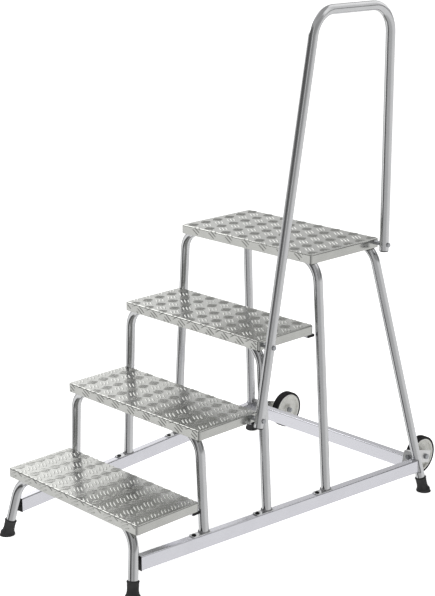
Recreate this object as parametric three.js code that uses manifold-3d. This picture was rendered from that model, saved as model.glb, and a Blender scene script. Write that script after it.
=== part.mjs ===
// Rolling warehouse ladder: four checker-plate treads on bent tube arches, a base frame of two
// splayed rails, one looped handrail, four rubber feet and two tilt-and-roll wheels.
//
// Millimetres, +Z up, +Y the way a person climbs, +X to that person's right. The design frame has
// y = 0 at the front edge of the lowest tread; the finished group is moved so that its origin is
// the centre of its footprint on the floor.

import * as THREE from "three";
import { mergeVertices } from "three/addons/utils/BufferGeometryUtils.js";
import Module from "manifold-3d";

// ---------------------------------------------------------------- driving dimensions

const RISE = 245; // tread to tread, and floor to lowest tread
const GOING = 273.5; // front edge to front edge of the steps
const STEP_COUNT = 3; // steps below the platform

const GAP = 0.3; // clearance between touching pieces
const OVER = 5; // how far a drill runs past the faces it opens
const REACH = 2000; // further than the ladder goes in any direction

const TREAD = { width: 676, depth: 270, flange: 33, sheet: 3, corner: 8 };
const PLATFORM = { width: 650, depth: 356, frontY: 816, height: 4 * RISE, corner: 8 };

const STEP_BEND = 80; // centre-line bend radii of the arches
const PLATFORM_BEND = 84;
const FRONT_BEND = 98;

const TUBE_RADIUS = 16.7;
const TUBE_WALL = 3;
const TUBE_SIDES = 16;
const BOLT_SIDES = 12;
const BORE_SIDES = 10;
const BEND_STEPS = 6;
const AROUND_TUBE = (TUBE_RADIUS + GAP) / Math.cos(Math.PI / TUBE_SIDES); // clears it at any turn
const RUN_DROP = TREAD.sheet + GAP + TUBE_RADIUS; // tread surface to the axis of an arch's run

const RAIL = { width: 30, height: 50, wall: 2.5, top: 129.5 };
const RAIL_FRONT = { x: 314, y: -1.5 }; // rail centre line where it meets the front leg's axis
const RAIL_REAR = { x: 433, y: 1304 }; // and the rear leg's axis
const RAIL_CAP = { flange: 3, stub: 15 };
const RAIL_STOP = 18; // a side rail's rear end, ahead of the rear leg's axis
const RAIL_ANGLE = Math.atan2(RAIL_REAR.x - RAIL_FRONT.x, RAIL_REAR.y - RAIL_FRONT.y);

const FRONT_FOOT = { x: 334, y: -20, z: 0 }; // leg axes at the floor
const REAR_FOOT = { x: 451, y: 1323, z: 0 };
const RUN_END = { arch_1: 298, arch_2: 317.5, arch_3: 329, arch_4: 328, arch_5: 312 }; // x of each run
const REAR_RUN_Y = 1148.5;
const FRONT_SET_BACK = 3; // runs behind the front edge that they carry
const PLATFORM_SET_BACK = 26;

const LEG_INSET = 3.5; // middle legs stand this far inboard of the rail's centre line
const FOOT_PLATE = { ahead: 58, behind: 18, thick: 3, screwAhead: 46 };
const SCREW = { shank: 3, headRadius: 7, head: 4, length: 9 };

const BAR = { depth: 33, height: 9.5, wall: 2, front: 243, plug: 3, stub: 14 }; // under a step's rear

// The outside of a rubber foot is a list of [radius, height], from below the floor to the mouth.
const RUBBER_FOOT = {
  height: 58,
  socket: 10,
  outside: [[26, -15], [26, 8], [24, 13], [20, 20], [19.4, 28], [20.5, 58]],
};

const STAND_OFF = 14; // handrail clear of the step sides, on spacers
const HANDRAIL = {
  x: TREAD.width / 2 + STAND_OFF + TUBE_RADIUS,
  top: 1804,
  rearY: REAR_RUN_Y,
  frontYAtStep3: 572,
  lean: 0.188, // y per z of the front leg
  frontEnd: 447.5,
  rearEnd: 946,
  bend: 95,
  bolts: { step_2: 472.5, step_3: 718.5, platform: 968 }, // heights
};
const HANDRAIL_BOLT = { shank: 4, flats: 15, head: 6, spacer: 8 };
const HANDRAIL_NUT = { flats: 13, thick: 7, past: 4 };
const HANDRAIL_PLUG = { thick: 4, edge: 2, chamfer: 2.6, inset: 0.4, stub: 12 };

const WHEEL = { x: 350, y: 1423, z: 88.5, radius: 73, rim: 64.6, width: 29, shoulder: 3 };
const WHEEL_SIDES = 32;
const HUB = { boss: 17, bossRoot: 20, web: 3, rimRoot: 56, rimLip: 58, recess: 1 };
const BUSH = { radius: 10, shoulder: 15, bore: 6.4, proud: 1 };
const AXLE = { shank: 6, flats: 19, head: 7.5, nut: 10, past: 14 };

const BRACKET = { inner: 376, thick: 4, height: 48, slope: 16, front: 1290, past: 26, flange: 412 };
const BRACKET_BOLT = { shank: 5, flats: 17, head: 6.5, length: 18, x: 400 };
const TAB = { inner: 386, height: 38, thick: 8 }; // threaded for the bracket bolt

// ---------------------------------------------------------------- materials

const finish = (color, roughness, metalness) =>
  new THREE.MeshStandardMaterial({ color, roughness, metalness });

const MATERIALS = {
  tube: finish(0xb4b6b8, 0.38, 0.9),
  rail: finish(0xcfd0d6, 0.42, 0.9),
  checker: finish(0xafb0aa, 0.45, 0.9),
  bracket: finish(0xe6e7e8, 0.4, 0.8),
  rubber: finish(0x2c2c2c, 0.85, 0.0),
  plastic: finish(0x1d1d1d, 0.6, 0.0),
  hub: finish(0xc9cac2, 0.55, 0.0),
  steel: finish(0xa3a5a8, 0.35, 0.95),
};

// ---------------------------------------------------------------- solids and booleans

const wasm = await Module();
wasm.setup();

const vec = (x, y, z) => new THREE.Vector3(x, y, z);
const vec2 = (x, y) => new THREE.Vector2(x, y);

function toManifold(geometry) {
  const bare = geometry.clone();
  bare.deleteAttribute("normal");
  bare.deleteAttribute("uv");
  const merged = mergeVertices(bare, 1e-4);
  return new wasm.Manifold(new wasm.Mesh({
    numProp: 3,
    vertProperties: new Float32Array(merged.attributes.position.array),
    triVerts: new Uint32Array(merged.index.array),
  }));
}

function toGeometry(manifold) {
  const { vertProperties, triVerts } = manifold.getMesh();
  const geometry = new THREE.BufferGeometry();
  geometry.setAttribute("position", new THREE.BufferAttribute(vertProperties, 3));
  geometry.setIndex(new THREE.BufferAttribute(triVerts, 1));
  geometry.computeVertexNormals();
  return geometry;
}

const cut = (geometry, ...tools) =>
  toGeometry(tools.reduce((body, tool) => body.subtract(toManifold(tool)), toManifold(geometry)));

const join = (...geometries) =>
  toGeometry(geometries.map(toManifold).reduce((body, piece) => body.add(piece)));

const keepInside = (geometry, region) =>
  toGeometry(toManifold(geometry).intersect(toManifold(region)));

/** A block between two opposite corners. */
function block(low, high) {
  const size = high.clone().sub(low);
  const centre = high.clone().add(low).multiplyScalar(0.5);
  return new THREE.BoxGeometry(size.x, size.y, size.z).translate(centre.x, centre.y, centre.z);
}

/** A round bar between two points. */
function rod(from, to, radius, sides = TUBE_SIDES) {
  const along = to.clone().sub(from);
  const geometry = new THREE.CylinderGeometry(radius, radius, along.length(), sides);
  const turn = new THREE.Quaternion().setFromUnitVectors(vec(0, 1, 0), along.clone().normalize());
  const centre = from.clone().add(to).multiplyScalar(0.5);
  return geometry.applyMatrix4(new THREE.Matrix4().compose(centre, turn, vec(1, 1, 1)));
}

/** A straight path with its corners rounded, with a station only where its direction changes. */
class BentPath extends THREE.Curve {
  constructor(corners, bendRadius) {
    super();
    const heading = corners.slice(1).map((p, i) => p.clone().sub(corners[i]).normalize());
    this.stations = [{ point: corners[0], tangent: heading[0] }];
    for (let i = 1; i < corners.length - 1; i += 1) {
      const before = heading[i - 1];
      const after = heading[i];
      const turn = before.angleTo(after);
      const start = corners[i].clone().addScaledVector(before, -bendRadius * Math.tan(turn / 2));
      const axis = before.clone().cross(after).normalize();
      const outward = before.clone().cross(axis);
      const centre = start.clone().addScaledVector(outward, -bendRadius);
      for (let step = 0; step <= BEND_STEPS; step += 1) {
        const angle = (turn * step) / BEND_STEPS;
        const spoke = outward.clone().applyAxisAngle(axis, angle);
        this.stations.push({
          point: centre.clone().addScaledVector(spoke, bendRadius),
          tangent: before.clone().applyAxisAngle(axis, angle),
        });
      }
    }
    this.stations.push({ point: corners.at(-1), tangent: heading.at(-1) });
  }

  get steps() {
    return this.stations.length - 1;
  }

  getPointAt(u, target = new THREE.Vector3()) {
    return target.copy(this.stations[Math.round(u * this.steps)].point);
  }

  getTangentAt(u, target = new THREE.Vector3()) {
    return target.copy(this.stations[Math.round(u * this.steps)].tangent);
  }
}

/** An open round tube bent along a path. */
function bentTube(corners, bendRadius) {
  const path = new BentPath(corners, bendRadius);
  const ring = new THREE.Shape().absarc(0, 0, TUBE_RADIUS, 0, 2 * Math.PI);
  const section = new THREE.Shape(ring.getSpacedPoints(TUBE_SIDES).slice(0, -1));
  const bore = new THREE.Path().absarc(0, 0, TUBE_RADIUS - TUBE_WALL, 0, 2 * Math.PI, true);
  section.holes.push(new THREE.Path(bore.getSpacedPoints(BORE_SIDES).slice(0, -1)));
  return new THREE.ExtrudeGeometry(section, {
    steps: path.steps,
    extrudePath: path,
    curveSegments: 1,
  });
}

function rectangle(width, height) {
  const [x, y] = [width / 2, height / 2];
  return [vec2(-x, -y), vec2(x, -y), vec2(x, y), vec2(-x, y)];
}

/** A hollow rectangular section, extruded along +Z from z = 0. */
function boxTube(width, height, wall, length) {
  const section = new THREE.Shape(rectangle(width, height));
  section.holes.push(new THREE.Path(rectangle(width - 2 * wall, height - 2 * wall).reverse()));
  return new THREE.ExtrudeGeometry(section, { depth: length, bevelEnabled: false });
}

/** A hexagon bolt, its head's underside at the origin and its shank along +X. */
function hexBolt({ flats, head, shank, length }) {
  const hexagon = new THREE.CylinderGeometry(flats / Math.sqrt(3), flats / Math.sqrt(3), head, 6);
  hexagon.rotateZ(-Math.PI / 2).translate(-head / 2, 0, 0);
  return join(hexagon, rod(vec(-head / 2, 0, 0), vec(length, 0, 0), shank, BOLT_SIDES));
}

/** A hexagon nut from x = 0 to x = thick, with a plain bore. */
function hexNut({ flats, thick, bore }) {
  const hexagon = new THREE.CylinderGeometry(flats / Math.sqrt(3), flats / Math.sqrt(3), thick, 6);
  hexagon.rotateZ(-Math.PI / 2).translate(thick / 2, 0, 0);
  return cut(hexagon, rod(vec(-OVER, 0, 0), vec(thick + OVER, 0, 0), bore, BOLT_SIDES));
}

// ---------------------------------------------------------------- assembly

const ladder = new THREE.Group();

function add(name, geometry, material, position = vec(0, 0, 0)) {
  const mesh = new THREE.Mesh(geometry, material);
  mesh.name = name;
  mesh.position.copy(position);
  ladder.add(mesh);
  return mesh;
}

const SIDES = [["left", -1], ["right", 1]];

/** The handrail's front leg axis at height z. */
const handrailFrontY = (z) => HANDRAIL.frontYAtStep3 + HANDRAIL.lean * (z - STEP_COUNT * RISE);

/** A handrail bolt: its head's underside, and the tread side that it fastens to. */
const handrailBolt = (y, z, face) => ({ at: vec(HANDRAIL.x + TUBE_RADIUS + GAP, y, z), face });

const { step_2: bolt2Z, step_3: bolt3Z, platform: platformBoltZ } = HANDRAIL.bolts;
const BOLTS = {
  step_2: handrailBolt(handrailFrontY(bolt2Z), bolt2Z, TREAD.width / 2),
  step_3: handrailBolt(handrailFrontY(bolt3Z), bolt3Z, TREAD.width / 2),
  platform: handrailBolt(HANDRAIL.rearY, platformBoltZ, PLATFORM.width / 2),
};
const BOLT_PAST_FACE = TREAD.sheet + HANDRAIL_NUT.thick + HANDRAIL_NUT.past;

/** The clearance hole of a handrail bolt. */
function boltHole({ at, face }) {
  const inside = vec(face - TREAD.sheet - OVER, at.y, at.z);
  const outside = vec(at.x + OVER, at.y, at.z);
  return rod(inside, outside, HANDRAIL_BOLT.shank + GAP, BOLT_SIDES);
}

/** x of a side rail's centre line at a given y. */
function railX(y) {
  const slope = (RAIL_REAR.x - RAIL_FRONT.x) / (RAIL_REAR.y - RAIL_FRONT.y);
  return RAIL_FRONT.x + slope * (y - RAIL_FRONT.y);
}

// ---------------------------------------------------------------- treads and platform

/** Plan outline of a tread, front edge on y = 0, with rounded corners. */
function treadOutline(width, depth, corner) {
  const x = width / 2;
  const shape = new THREE.Shape();
  shape.absarc(x - corner, corner, corner, -Math.PI / 2, 0);
  shape.absarc(x - corner, depth - corner, corner, 0, Math.PI / 2);
  shape.absarc(-x + corner, depth - corner, corner, Math.PI / 2, Math.PI);
  shape.absarc(-x + corner, corner, corner, Math.PI, 1.5 * Math.PI);
  return shape;
}

const extrude = (shape, height) =>
  new THREE.ExtrudeGeometry(shape, { depth: height, bevelEnabled: false, curveSegments: 5 });

/** A plate folded down on all four sides, its top surface on z = 0. */
function foldedPlate({ width, depth, corner }) {
  const { flange, sheet } = TREAD;
  const outer = extrude(treadOutline(width, depth, corner), flange).translate(0, 0, -flange);
  const inner = treadOutline(width - 2 * sheet, depth - 2 * sheet, corner - sheet);
  return cut(outer, extrude(inner, flange).translate(0, sheet, -flange - sheet));
}

/** A tread, drilled where the handrail is bolted to it. */
function addTread(name, plate, origin, bolt) {
  const { x, y, z } = origin;
  const geometry = bolt ? cut(plate, boltHole(bolt).translate(-x, -y, -z)) : plate;
  add(name, geometry, MATERIALS.checker, origin);
}

const stepOrigin = (i) => vec(0, i * GOING, (i + 1) * RISE);
const stepPlate = foldedPlate(TREAD);
for (let i = 0; i < STEP_COUNT; i += 1) {
  addTread(`tread_${i + 1}`, stepPlate, stepOrigin(i), BOLTS[`step_${i + 1}`]);
}
addTread("platform", foldedPlate(PLATFORM), vec(0, PLATFORM.frontY, PLATFORM.height), BOLTS.platform);

// ---------------------------------------------------------------- arches

/** The four corners of an arch: foot, run end, run end, foot. */
function archCorners(run, foot) {
  return [
    vec(-foot.x, foot.y, foot.z),
    vec(-run.x, run.y, run.z),
    vec(run.x, run.y, run.z),
    vec(foot.x, foot.y, foot.z),
  ];
}

/** The point of a leg's axis at height z. */
function legAt(run, foot, z) {
  const t = (z - foot.z) / (run.z - foot.z);
  return vec(foot.x + (run.x - foot.x) * t, foot.y + (run.y - foot.y) * t, z);
}

/** An arch that stands on the side rails, with a screwed foot plate welded under each leg. */
function railArch(run, bend) {
  const plateLow = RAIL.top + GAP;
  const foot = { x: railX(run.y) - LEG_INSET, y: run.y, z: plateLow - TUBE_RADIUS };
  const tube = bentTube(archCorners(run, foot), bend);
  const above = block(vec(-REACH, -REACH, plateLow + FOOT_PLATE.thick / 2), vec(REACH, REACH, REACH));
  const pieces = [keepInside(tube, above)];
  SIDES.forEach(([, side]) => {
    const plate = block(
      vec(-RAIL.width / 2, -FOOT_PLATE.ahead, 0),
      vec(RAIL.width / 2, FOOT_PLATE.behind, FOOT_PLATE.thick),
    );
    const below = vec(0, -FOOT_PLATE.screwAhead, -OVER);
    const over = vec(0, -FOOT_PLATE.screwAhead, FOOT_PLATE.thick + OVER);
    const drilled = cut(plate, rod(below, over, SCREW.shank + GAP, BOLT_SIDES));
    pieces.push(drilled.rotateZ(-side * RAIL_ANGLE).translate(side * railX(run.y), run.y, plateLow));
  });
  return join(...pieces);
}

/** The end of an arch's run under the surface that is count rises up. */
const runEnd = (name, y, count) => ({ x: RUN_END[name], y, z: count * RISE - RUN_DROP });

const FRONT_RUN = runEnd("arch_1", RUN_DROP + FRONT_SET_BACK, 1);
const REAR_TOP = runEnd("arch_5", REAR_RUN_Y, STEP_COUNT + 1);
const RAIL_ARCHES = [
  ["arch_2", runEnd("arch_2", GOING + RUN_DROP, 2), STEP_BEND],
  ["arch_3", runEnd("arch_3", 2 * GOING + RUN_DROP, 3), STEP_BEND],
  ["arch_4", runEnd("arch_4", PLATFORM.frontY + PLATFORM_SET_BACK, STEP_COUNT + 1), PLATFORM_BEND],
];

/** An arch that stands on the floor in rubber feet; its tube ends inside the feet's sockets. */
function floorArch(run, floor, bend) {
  const end = legAt(run, floor, RUBBER_FOOT.socket + GAP);
  return bentTube(archCorners(run, end), bend);
}

add("arch_1", floorArch(FRONT_RUN, FRONT_FOOT, FRONT_BEND), MATERIALS.tube);
RAIL_ARCHES.forEach(([name, run, bend]) => add(name, railArch(run, bend), MATERIALS.tube));

// ---------------------------------------------------------------- wheel brackets

const slope = THREE.MathUtils.degToRad(BRACKET.slope);

/** Turns bracket coordinates (x, distance back along the arm, height across it) into the design's. */
function placeOnBracket(geometry) {
  const drop = (WHEEL.y - BRACKET.front) * Math.tan(slope);
  return geometry.rotateX(-slope).translate(0, BRACKET.front, WHEEL.z + drop);
}

const armLength = (WHEEL.y - BRACKET.front) / Math.cos(slope);

/** A flat bar bent outward at its front into a flange, drilled for the axle and the flange bolt. */
function wheelBracket(side) {
  const { inner, thick, height, past, flange } = BRACKET;
  const low = Math.min(side * inner, side * (inner + thick));
  const arm = block(vec(low, 0, -height / 2), vec(low + thick, armLength + past, height / 2));
  const flangeLow = Math.min(side * inner, side * flange);
  const front = block(
    vec(flangeLow, 0, -height / 2),
    vec(flangeLow + flange - inner, thick, height / 2),
  );
  const axleHole = rod(
    vec(side * (inner - OVER), armLength, 0),
    vec(side * (inner + thick + OVER), armLength, 0),
    AXLE.shank + GAP,
  );
  const flangeHole = rod(
    vec(side * BRACKET_BOLT.x, -OVER, 0),
    vec(side * BRACKET_BOLT.x, thick + OVER, 0),
    BRACKET_BOLT.shank + GAP,
  );
  return placeOnBracket(cut(join(arm, front), axleHole, flangeHole));
}

/** The rear arch, with a tab welded inside each leg that the wheel bracket's flange bolts to. */
function rearArch() {
  const pieces = [floorArch(REAR_TOP, REAR_FOOT, PLATFORM_BEND)];
  const bores = [];
  const front = BRACKET.thick + GAP;
  const back = front + TAB.thick;
  SIDES.forEach(([, side]) => {
    const reach = legAt(REAR_TOP, REAR_FOOT, RAIL.top).x - TUBE_RADIUS / 2;
    const low = Math.min(side * TAB.inner, side * reach);
    const tab = block(
      vec(low, front, -TAB.height / 2),
      vec(low + reach - TAB.inner, back, TAB.height / 2),
    );
    const hole = rod(
      vec(side * BRACKET_BOLT.x, front - OVER, 0),
      vec(side * BRACKET_BOLT.x, back + OVER, 0),
      BRACKET_BOLT.shank + GAP,
    );
    pieces.push(placeOnBracket(cut(tab, hole)));
    const foot = legAt(REAR_TOP, REAR_FOOT, 0);
    const knee = legAt(REAR_TOP, REAR_FOOT, PLATFORM.height / 2);
    foot.x *= side;
    knee.x *= side;
    bores.push(rod(foot, knee, TUBE_RADIUS - TUBE_WALL, BORE_SIDES));
  });
  return cut(join(...pieces), ...bores);
}

add("arch_5", rearArch(), MATERIALS.tube);

SIDES.forEach(([label, side]) => {
  add(`wheel_bracket_${label}`, wheelBracket(side), MATERIALS.bracket);

  const bolt = hexBolt(BRACKET_BOLT).rotateZ(Math.PI / 2).translate(side * BRACKET_BOLT.x, -GAP, 0);
  add(`bracket_bolt_${label}`, placeOnBracket(bolt), MATERIALS.steel);
});

// ---------------------------------------------------------------- base frame

const railAxisZ = RAIL.top - RAIL.height / 2;

/** A side rail: square at the capped front end, coped round the rear leg. */
function sideRail(side) {
  const frontLeg = legAt(FRONT_RUN, FRONT_FOOT, RAIL.top);
  const start = frontLeg.y + TUBE_RADIUS + RAIL_CAP.flange + 3 * GAP;
  const length = (RAIL_REAR.y - start) / Math.cos(RAIL_ANGLE);
  const bar = boxTube(RAIL.width, RAIL.height, RAIL.wall, length).rotateX(-Math.PI / 2);
  bar.rotateZ(-side * RAIL_ANGLE).translate(side * railX(start), start, railAxisZ);
  const low = legAt(REAR_TOP, REAR_FOOT, 0);
  const high = legAt(REAR_TOP, REAR_FOOT, 2 * RAIL.top);
  low.x *= side;
  high.x *= side;
  const behind = block(vec(-REACH, RAIL_REAR.y - RAIL_STOP, -REACH), vec(REACH, REACH, REACH));
  const screwHoles = RAIL_ARCHES.map(([, run]) => {
    const { x, y } = screwPoint(run, side);
    const below = vec(x, y, RAIL.top - RAIL.wall - OVER);
    return rod(below, vec(x, y, RAIL.top + OVER), SCREW.shank + GAP, BOLT_SIDES);
  });
  return cut(bar, rod(low, high, AROUND_TUBE), behind, ...screwHoles);
}

/** Where a foot plate's screw stands. */
function screwPoint(run, side) {
  const back = FOOT_PLATE.screwAhead;
  const x = railX(run.y) - back * Math.sin(RAIL_ANGLE);
  return vec(side * x, run.y - back * Math.cos(RAIL_ANGLE), RAIL.top + 2 * GAP + FOOT_PLATE.thick);
}

/** The black plug that closes a side rail's front end: a flange and a stub inside the rail. */
function railCap(side) {
  const frontLeg = legAt(FRONT_RUN, FRONT_FOOT, RAIL.top);
  const start = frontLeg.y + TUBE_RADIUS + 2 * GAP;
  const { width, height, wall } = RAIL;
  const flange = block(vec(-width / 2, 0, -height / 2), vec(width / 2, RAIL_CAP.flange, height / 2));
  const [x, z] = [width / 2 - wall - GAP, height / 2 - wall - GAP];
  const stub = block(vec(-x, 0, -z), vec(x, RAIL_CAP.flange + RAIL_CAP.stub, z));
  const cap = join(flange, stub).rotateZ(-side * RAIL_ANGLE);
  return cap.translate(side * railX(start), start, railAxisZ);
}

SIDES.forEach(([label, side]) => {
  add(`side_rail_${label}`, sideRail(side), MATERIALS.rail);
  add(`rail_end_cap_${label}`, railCap(side), MATERIALS.plastic);
});

const crossLength = 2 * (BRACKET.inner - GAP);
const crossRail = boxTube(RAIL.height, RAIL.width, RAIL.wall, crossLength).rotateY(Math.PI / 2);
add("rear_cross_rail", crossRail, MATERIALS.rail, vec(-crossLength / 2, RAIL_REAR.y, railAxisZ));

const screwGeometry = join(
  rod(vec(0, 0, 0), vec(0, 0, SCREW.head), SCREW.headRadius),
  rod(vec(0, 0, -SCREW.length), vec(0, 0, SCREW.head / 2), SCREW.shank, BOLT_SIDES),
);
RAIL_ARCHES.forEach(([name, run]) => {
  SIDES.forEach(([label, side]) => {
    const at = screwPoint(run, side);
    add(`foot_screw_${name.slice(-1)}_${label}`, screwGeometry, MATERIALS.plastic, at);
  });
});

// ---------------------------------------------------------------- support bars of the steps

const barHalf = TREAD.width / 2; // half length over the plugs
const barTop = -TREAD.flange - GAP;
const barLength = 2 * (barHalf - BAR.plug - GAP);
const barGeometry = boxTube(BAR.height, BAR.depth, BAR.wall, barLength)
  .rotateY(Math.PI / 2)
  .translate(-barLength / 2, BAR.front + BAR.depth / 2, barTop - BAR.height / 2);

/** A plug in a support bar's end: a flange outside and a stub inside. */
function barPlug(side) {
  const [y, z] = [BAR.depth / 2, BAR.height / 2];
  const inset = BAR.wall + GAP;
  const flange = block(vec(-BAR.plug, -y, -z), vec(0, y, z));
  const stub = block(
    vec(-BAR.plug - BAR.stub, -y + inset, -z + inset),
    vec(0, y - inset, z - inset),
  );
  const plug = join(flange, stub).rotateZ(side > 0 ? 0 : Math.PI);
  return plug.translate(side * barHalf, BAR.front + y, barTop - z);
}

for (let i = 0; i < STEP_COUNT; i += 1) {
  add(`support_bar_${i + 1}`, barGeometry, MATERIALS.rail, stepOrigin(i));
  SIDES.forEach(([label, side]) => {
    add(`bar_plug_${i + 1}_${label}`, barPlug(side), MATERIALS.plastic, stepOrigin(i));
  });
}

// ---------------------------------------------------------------- handrail

const railPath = [
  vec(HANDRAIL.x, handrailFrontY(HANDRAIL.frontEnd), HANDRAIL.frontEnd),
  vec(HANDRAIL.x, handrailFrontY(HANDRAIL.top), HANDRAIL.top),
  vec(HANDRAIL.x, HANDRAIL.rearY, HANDRAIL.top),
  vec(HANDRAIL.x, HANDRAIL.rearY, HANDRAIL.rearEnd),
];
add("handrail", cut(bentTube(railPath, HANDRAIL.bend), ...Object.values(BOLTS).map(boltHole)),
  MATERIALS.tube);

/** A plug in a tube's end: a domed-off flange outside and a stub inside, pointing up the tube. */
function tubePlug() {
  const bore = TUBE_RADIUS - TUBE_WALL;
  const inscribed = bore * Math.cos(Math.PI / BORE_SIDES) - GAP;
  const { thick, edge, chamfer, inset, stub } = HANDRAIL_PLUG;
  const rim = TUBE_RADIUS - inset;
  return new THREE.LatheGeometry([
    vec2(0, -thick - GAP), vec2(rim - chamfer, -thick - GAP), vec2(rim, -edge - GAP),
    vec2(rim, -GAP), vec2(inscribed, -GAP), vec2(inscribed, stub), vec2(0, stub),
  ], TUBE_SIDES).rotateX(Math.PI / 2);
}

const leanAngle = Math.atan(HANDRAIL.lean);
add("handrail_plug_front", tubePlug().rotateX(-leanAngle), MATERIALS.plastic, railPath[0]);
add("handrail_plug_rear", tubePlug(), MATERIALS.plastic, railPath[3]);

Object.entries(BOLTS).forEach(([place, { at, face }]) => {
  const { shank, spacer } = HANDRAIL_BOLT;
  const bolt = hexBolt({ ...HANDRAIL_BOLT, length: at.x - face + BOLT_PAST_FACE });
  add(`handrail_bolt_${place}`, bolt.rotateZ(Math.PI), MATERIALS.steel, at);

  const nut = hexNut({ ...HANDRAIL_NUT, bore: shank + GAP }).rotateZ(Math.PI);
  const nutX = face - TREAD.sheet - GAP;
  add(`handrail_nut_${place}`, nut, MATERIALS.steel, vec(nutX, at.y, at.z));

  const sleeve = rod(vec(face + GAP, at.y, at.z),
    vec(HANDRAIL.x - TUBE_RADIUS - GAP, at.y, at.z), spacer, BOLT_SIDES);
  add(`handrail_spacer_${place}`, cut(sleeve, boltHole({ at, face })), MATERIALS.steel);
});

// ---------------------------------------------------------------- rubber feet

/** A rubber foot round a slanted leg, flat on the floor. */
function rubberFoot(run, floor, side) {
  const { height, socket, outside } = RUBBER_FOOT;
  const profile = [
    vec2(0, outside[0][1]),
    ...outside.map(([radius, level]) => vec2(radius, level)),
    vec2(AROUND_TUBE, height),
    vec2(AROUND_TUBE, socket),
    vec2(0, socket),
  ];
  const cup = new THREE.LatheGeometry(profile, TUBE_SIDES).rotateX(Math.PI / 2);
  const leg = vec(side * (run.x - floor.x), run.y - floor.y, run.z).normalize();
  cup.applyQuaternion(new THREE.Quaternion().setFromUnitVectors(vec(0, 0, 1), leg));
  return keepInside(cup, block(vec(-REACH, -REACH, 0), vec(REACH, REACH, REACH)));
}

SIDES.forEach(([label, side]) => {
  add(`foot_front_${label}`, rubberFoot(FRONT_RUN, FRONT_FOOT, side), MATERIALS.rubber,
    vec(side * FRONT_FOOT.x, FRONT_FOOT.y, 0));
  add(`foot_rear_${label}`, rubberFoot(REAR_TOP, REAR_FOOT, side), MATERIALS.rubber,
    vec(side * REAR_FOOT.x, REAR_FOOT.y, 0));
});

// ---------------------------------------------------------------- wheels

/** A solid of revolution about X; its profile is given as (distance along X, radius) pairs. */
function turned(profile, sides) {
  const points = profile.map(([x, radius]) => vec2(radius, x));
  return new THREE.LatheGeometry([...points, points[0]], sides).rotateZ(-Math.PI / 2);
}

const half = WHEEL.width / 2;

/** The rubber tyre: a band with chamfered shoulders. */
const tyre = turned([
  [-half, WHEEL.rim],
  [-half, WHEEL.radius - WHEEL.shoulder],
  [-half + WHEEL.shoulder, WHEEL.radius],
  [half - WHEEL.shoulder, WHEEL.radius],
  [half, WHEEL.radius - WHEEL.shoulder],
  [half, WHEEL.rim],
], WHEEL_SIDES);

/** The moulded hub: a rim, a thin web and a boss with the bush's bore. */
const { boss, bossRoot, web, rimRoot, rimLip, recess } = HUB;
const rimOuter = WHEEL.rim - GAP;
const bore = (BUSH.radius + GAP) / Math.cos(Math.PI / WHEEL_SIDES);
const hub = turned([
  [-half, bore], [-half, boss], [-web, bossRoot], [-web, rimRoot],
  [-half + recess, rimLip], [-half + recess, rimOuter],
  [half - recess, rimOuter], [half - recess, rimLip],
  [web, rimRoot], [web, bossRoot], [half, boss], [half, bore],
], WHEEL_SIDES);

SIDES.forEach(([label, side]) => {
  const outward = side > 0 ? 0 : Math.PI;
  const centre = vec(side * WHEEL.x, WHEEL.y, WHEEL.z);
  const armInner = BRACKET.inner - WHEEL.x; // from the wheel's centre to the arm, outward

  add(`wheel_tyre_${label}`, tyre, MATERIALS.rubber, centre);
  add(`wheel_hub_${label}`, hub, MATERIALS.hub, centre);

  const innerEnd = -half - BUSH.proud;
  const bush = turned([
    [innerEnd, BUSH.bore], [innerEnd, BUSH.radius], [half + GAP, BUSH.radius],
    [half + GAP, BUSH.shoulder], [armInner - GAP, BUSH.shoulder], [armInner - GAP, BUSH.bore],
  ], TUBE_SIDES).rotateZ(outward);
  add(`wheel_bush_${label}`, bush, MATERIALS.steel, centre);

  const head = armInner + BRACKET.thick + GAP;
  const bolt = hexBolt({ ...AXLE, length: head + half + AXLE.past });
  bolt.rotateZ(Math.PI).translate(head, 0, 0).rotateZ(outward);
  add(`axle_bolt_${label}`, bolt, MATERIALS.steel, centre);

  const axleNut = hexNut({ flats: AXLE.flats, thick: AXLE.nut, bore: AXLE.shank + GAP });
  axleNut.rotateZ(Math.PI).translate(innerEnd - GAP, 0, 0).rotateZ(outward);
  add(`axle_nut_${label}`, axleNut, MATERIALS.steel, centre);
});

// ---------------------------------------------------------------- origin on the floor

const extent = new THREE.Box3().setFromObject(ladder, true);
ladder.position.set(0, -(extent.min.y + extent.max.y) / 2, 0);

export default ladder;
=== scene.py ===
"""Looks of the rolling warehouse ladder: satin tubes with weld beads, checker-plate treads, rubber feet
and two wheels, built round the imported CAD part. Metres, in the part's own frame."""

import math
import random

import bmesh
import bpy
from mathutils import Matrix, Vector


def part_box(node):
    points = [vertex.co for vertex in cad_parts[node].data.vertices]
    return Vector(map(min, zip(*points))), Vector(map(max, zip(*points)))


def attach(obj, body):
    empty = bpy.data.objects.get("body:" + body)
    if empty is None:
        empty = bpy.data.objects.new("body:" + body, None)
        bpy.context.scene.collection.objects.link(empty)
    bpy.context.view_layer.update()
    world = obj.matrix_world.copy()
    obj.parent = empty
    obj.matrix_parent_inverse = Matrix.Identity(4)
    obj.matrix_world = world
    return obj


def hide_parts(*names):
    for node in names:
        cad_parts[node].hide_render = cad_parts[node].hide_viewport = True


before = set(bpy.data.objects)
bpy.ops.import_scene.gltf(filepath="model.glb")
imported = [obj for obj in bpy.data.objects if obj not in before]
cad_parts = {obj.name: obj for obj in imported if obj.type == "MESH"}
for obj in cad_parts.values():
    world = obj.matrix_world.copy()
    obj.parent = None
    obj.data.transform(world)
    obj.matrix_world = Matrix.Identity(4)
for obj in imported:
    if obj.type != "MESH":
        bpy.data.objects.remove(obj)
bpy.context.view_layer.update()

MM = 0.001
ON_AXIS = 0.01 * MM  # radius at which a turned profile ends on its axis
SIDES = {"left": -1, "right": 1}
HANDRAIL_PLACES = ("step_2", "step_3", "platform")  # where the handrail is bolted on

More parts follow.
